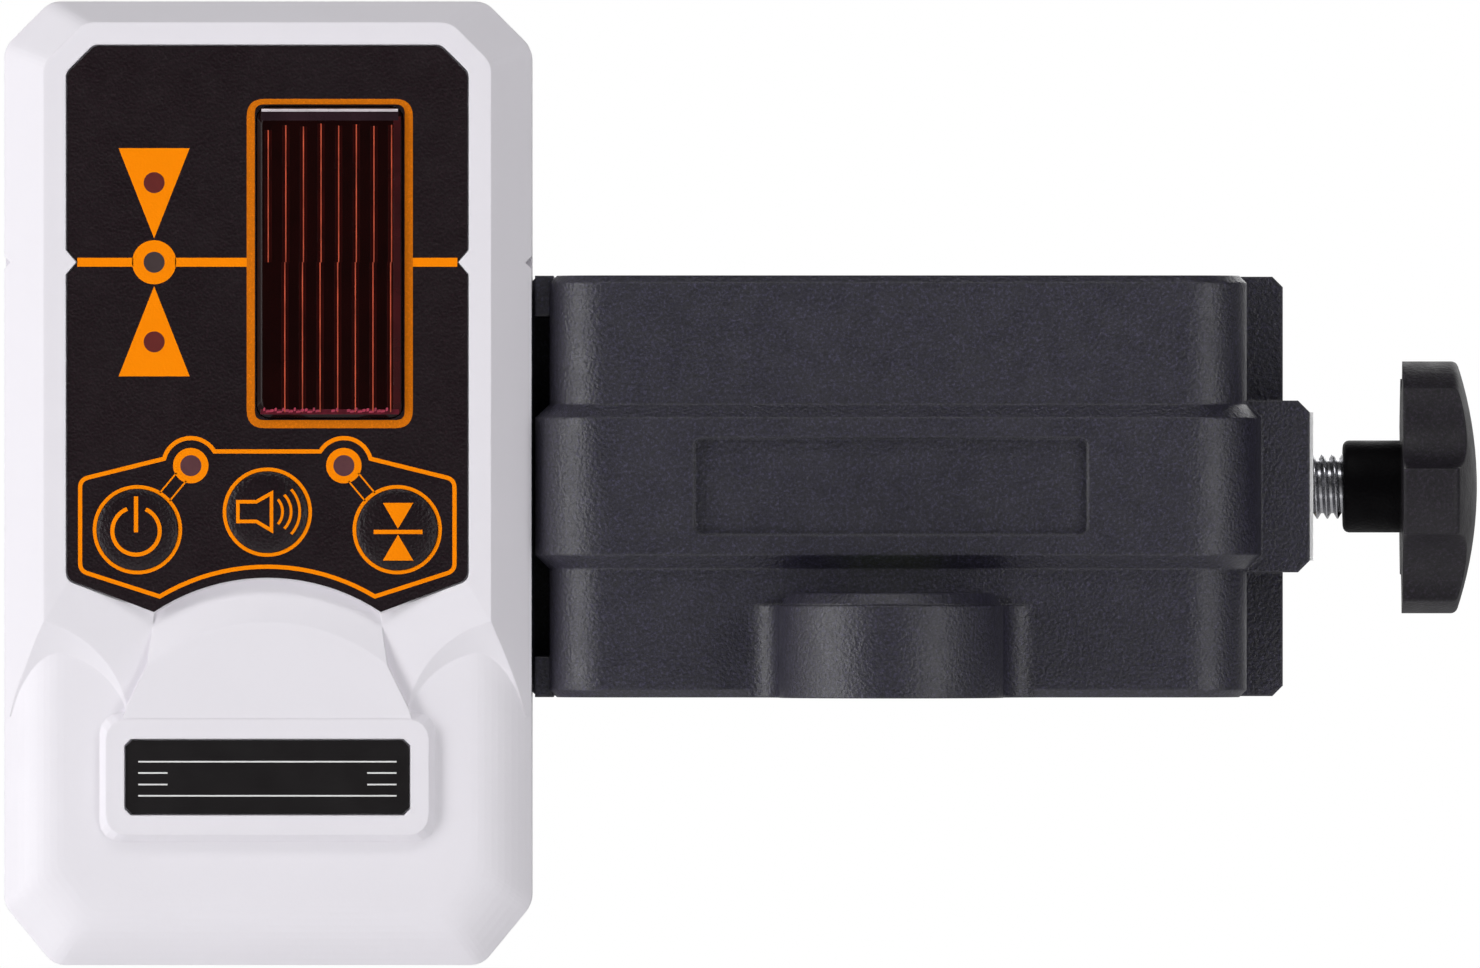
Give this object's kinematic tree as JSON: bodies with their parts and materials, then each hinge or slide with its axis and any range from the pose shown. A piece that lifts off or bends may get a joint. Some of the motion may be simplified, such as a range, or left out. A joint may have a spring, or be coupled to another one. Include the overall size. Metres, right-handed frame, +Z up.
{
  "type": "laser receiver with staff clamp",
  "caption": "White handheld laser receiver with a red sensor window and embossed keys, carried on a black C-shaped screw clamp for a levelling staff.",
  "frame": {"origin": "on the gripping face of the fixed jaw's pad, on the axis of the clamp screw", "axes": "+X to the right along the clamp screw towards the knob, +Y to the back away from the receiver's face, +Z up"},
  "size_m": [0.1818, 0.0582, 0.1188],
  "materials": {
    "white_shell": "fine matt moulding grain",
    "panel_film": "fine leathery grain",
    "red_window": "polished dark red",
    "red_lamp": "clear red lens, unlit",
    "level_lamp": "clear dark lens, unlit",
    "label": "printed film",
    "board": "green solder mask",
    "sensor": "dark filter resin",
    "black_component": "moulded",
    "screw_steel": "zinc plated",
    "stud_steel": "bright rolled thread",
    "plate_steel": "bright sheet",
    "brass": "turned",
    "cell_jacket": "plain wrapped jacket",
    "contact_metal": "nickel plated",
    "seal_rubber": "matt",
    "clamp_plastic": "fine matt moulding grain",
    "grip_rubber": "matt",
    "knob_plastic": "fine matt moulding grain",
    "thumb_metal": "black oxide",
    "vial": "clear green fluid"
  },
  "bodies": {
    "receiver_on_clamp": {"front_housing": "white_shell", "rear_housing": "white_shell", "housing_seal": "seal_rubber", "keypad_overlay": "panel_film", "sensor_window": "red_window", "up_led": "red_lamp", "level_led": "level_lamp", "down_led": "red_lamp", "power_led": "red_lamp", "tone_led": "red_lamp", "label_plate": "label", "circuit_board": "board", "upper_sensor": "sensor", "lower_sensor": "sensor", "key_switches": "black_component", "buzzer": "black_component", "board_screws": "screw_steel", "housing_screws": "screw_steel", "mount_insert": "brass", "battery_cells": "cell_jacket", "battery_contacts": "contact_metal", "cover_hinge_pin": "screw_steel", "clamp_frame": "clamp_plastic", "fixed_jaw_pad": "grip_rubber", "screw_nut": "brass", "thrust_plate": "plate_steel", "plate_screws": "screw_steel", "level_vial": "vial", "level_bezel": "clamp_plastic"},
    "power_key": {"power_button": "panel_film"},
    "sound_key": {"sound_button": "panel_film"},
    "sensitivity_key": {"sensitivity_button": "panel_film"},
    "cover": {"battery_cover": "white_shell"},
    "sliding_jaw": {"pressure_jaw": "clamp_plastic", "pressure_pad": "grip_rubber"},
    "knob_and_screw": {"clamp_screw": "stud_steel", "screw_clip": "screw_steel", "star_knob": "knob_plastic"},
    "thumb_washer": {"mount_washer": "screw_steel"},
    "thumb_screw": {"mount_screw": "thumb_metal"}
  },
  "joints": [
    {"name": "power_press", "type": "slide", "parent": "receiver_on_clamp", "child": "power_key", "axis": [0, 1, 0], "range_m": [0, 0.0005], "stiffness_N_per_m": 600},
    {"name": "sound_press", "type": "slide", "parent": "receiver_on_clamp", "child": "sound_key", "axis": [0, 1, 0], "range_m": [0, 0.0005], "stiffness_N_per_m": 600},
    {"name": "sensitivity_press", "type": "slide", "parent": "receiver_on_clamp", "child": "sensitivity_key", "axis": [0, 1, 0], "range_m": [0, 0.0005], "stiffness_N_per_m": 600},
    {"name": "cover_hinge", "type": "hinge", "parent": "receiver_on_clamp", "child": "cover", "pos_m": [-0.0417, 0.0076, -0.04815], "axis": [-1, 0, 0], "range_deg": [0, 95]},
    {"name": "jaw_slide", "type": "slide", "parent": "receiver_on_clamp", "child": "sliding_jaw", "axis": [1, 0, 0], "range_m": [-0.0031, 0.035]},
    {"name": "knob_turn", "type": "hinge", "parent": "sliding_jaw", "child": "knob_and_screw", "pos_m": [0.095, 0, 0], "axis": [1, 0, 0], "range_deg": [-900, 10090]},
    {"name": "washer_slide", "type": "slide", "parent": "receiver_on_clamp", "child": "thumb_washer", "axis": [0, 1, 0], "range_m": [0, 0.007]},
    {"name": "thumb_turn", "type": "hinge", "parent": "thumb_washer", "child": "thumb_screw", "pos_m": [-0.0417, 0.018, 0.0004], "axis": [0, 1, 0], "range_deg": [0, 1990]}
  ],
  "couplings": [
    {"joint": "knob_turn", "follows": "jaw_slide", "rad_per_m": 5026.5},
    {"joint": "thumb_turn", "follows": "washer_slide", "rad_per_m": 4947.4}
  ]
}
